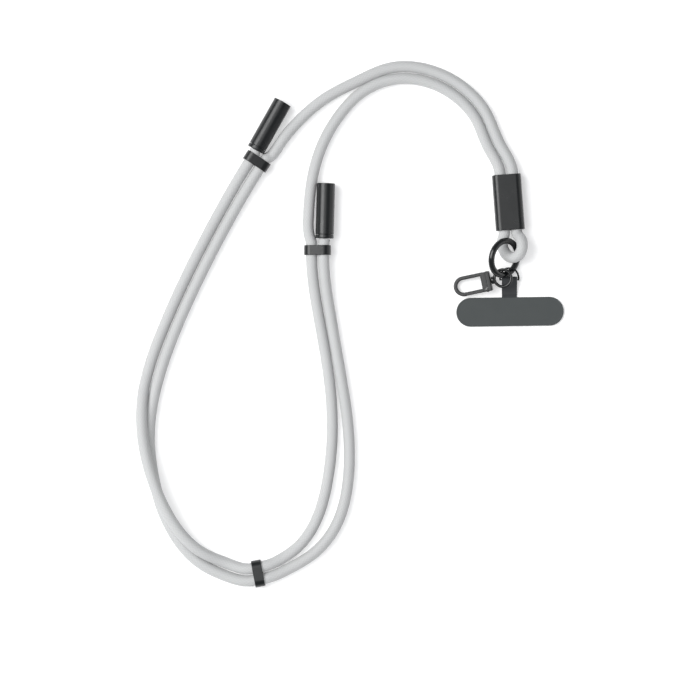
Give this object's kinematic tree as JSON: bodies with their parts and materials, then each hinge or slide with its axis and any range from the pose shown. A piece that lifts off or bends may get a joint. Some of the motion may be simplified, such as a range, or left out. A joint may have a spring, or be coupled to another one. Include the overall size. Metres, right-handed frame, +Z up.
{
  "type": "charging cable lanyard",
  "caption": "Long braided charging cable worn as a neck loop, with bands, plug caps, a flat oval housing, a ring with a swivel clasp, and a tether strap with a pad.",
  "frame": {"origin": "on the floor under the middle of the laid out loop", "axes": "+Z up from the floor it lies on, +Y to the top of the loop, +X to the side of the clasp and the pad"},
  "size_m": [0.2437, 0.2994, 0.0165],
  "materials": {
    "cable": "pale grey braided sleeve",
    "black": "black anodised, satin",
    "metal": "black plated, glossy",
    "plug": "satin",
    "tape": "dark grey woven tape",
    "sheet": "dark grey, satin"
  },
  "bodies": {
    "lanyard": {"cord": "cable", "housing": "black", "slider_left": "black", "slider_right": "black", "keeper": "black", "cap_right": "black", "plug_left": "black", "plug_right": "black", "ring": "metal", "swivel_eye": "metal", "d_ring": "metal", "tether_strap": "tape", "tether_pad": "sheet"},
    "clasp": {"clasp_body": "metal"},
    "gate": {"clasp_gate": "metal"},
    "left_cap": {"cap_left": "black"}
  },
  "joints": [
    {"name": "clasp_swivel", "type": "hinge", "parent": "lanyard", "child": "clasp", "pos_m": [0.0564, 0.037, 0.0066], "axis": [-0.9631, -0.1995, -0.1805], "continuous": true},
    {"name": "gate_pivot", "type": "hinge", "parent": "clasp", "child": "gate", "pos_m": [0.04824, 0.03056, 0.00489], "axis": [-0.1768, -0.0366, 0.9836], "range_deg": [-28, 0], "stiffness_Nm_per_rad": 0.01, "springref_deg": 5.73},
    {"name": "cap_pull", "type": "slide", "parent": "lanyard", "child": "left_cap", "axis": [0.4924, 0.8704, 0], "range_m": [0, 0.03]}
  ]
}
